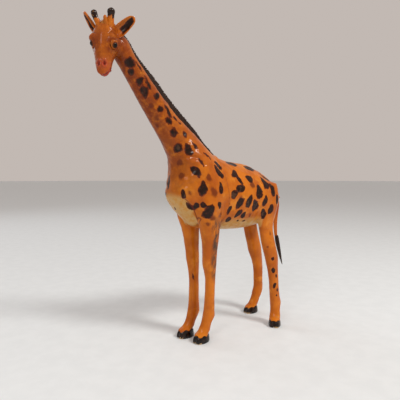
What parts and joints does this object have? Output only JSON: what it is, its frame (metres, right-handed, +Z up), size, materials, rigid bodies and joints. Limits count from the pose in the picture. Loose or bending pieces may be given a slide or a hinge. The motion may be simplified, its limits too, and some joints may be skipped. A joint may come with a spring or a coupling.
{
  "type": "giraffe figurine",
  "caption": "Free-standing giraffe figurine of painted, lacquered leather over a wound-paper core on bent steel wire, head turned to its left, with glass eyes and a tail that lifts.",
  "frame": {"origin": "on the standing plane under the middle of the bounding box", "axes": "+Z up, the giraffe faces -Y, its own left side is +X"},
  "size_m": [0.062, 0.2407, 0.3016],
  "materials": {
    "hide": "painted, glossy lacquer",
    "pale_hide": "painted, glossy lacquer",
    "hoof": "black gloss paint, chipped",
    "eye": "polished",
    "mane": "dark brown, satin",
    "tuft": "lacquered fibre",
    "core": "matte pressed paper",
    "wire": "drawn wire"
  },
  "bodies": {
    "statue": {"spine_wire": "wire", "front_leg_wire": "wire", "hind_leg_wire": "wire", "torso_core": "core", "neck_core": "core", "head_core": "core", "front_left_leg_core": "core", "front_right_leg_core": "core", "hind_left_leg_core": "core", "hind_right_leg_core": "core", "torso_hide": "hide", "belly_panel": "pale_hide", "shoulder_hide": "hide", "chest_panel": "pale_hide", "neck_hide": "hide", "head_hide": "hide", "front_left_leg_hide": "hide", "front_right_leg_hide": "hide", "hind_left_leg_hide": "hide", "hind_right_leg_hide": "hide", "front_left_hoof": "hoof", "front_right_hoof": "hoof", "hind_left_hoof": "hoof", "hind_right_hoof": "hoof", "left_ear": "hide", "right_ear": "hide", "left_horn": "hide", "right_horn": "hide", "brow_knob": "hide", "left_eye": "eye", "right_eye": "eye", "left_eyelid": "hide", "right_eyelid": "hide", "mane": "mane", "tail_dock": "hide", "tail_pin": "wire"},
    "tail": {"tail_thong": "hide", "tail_tuft": "tuft"}
  },
  "joints": [
    {"name": "tail_lift", "type": "hinge", "parent": "statue", "child": "tail", "pos_m": [0, 0.1107, 0.14], "axis": [1, 0, 0], "range_deg": [0, 40]}
  ]
}
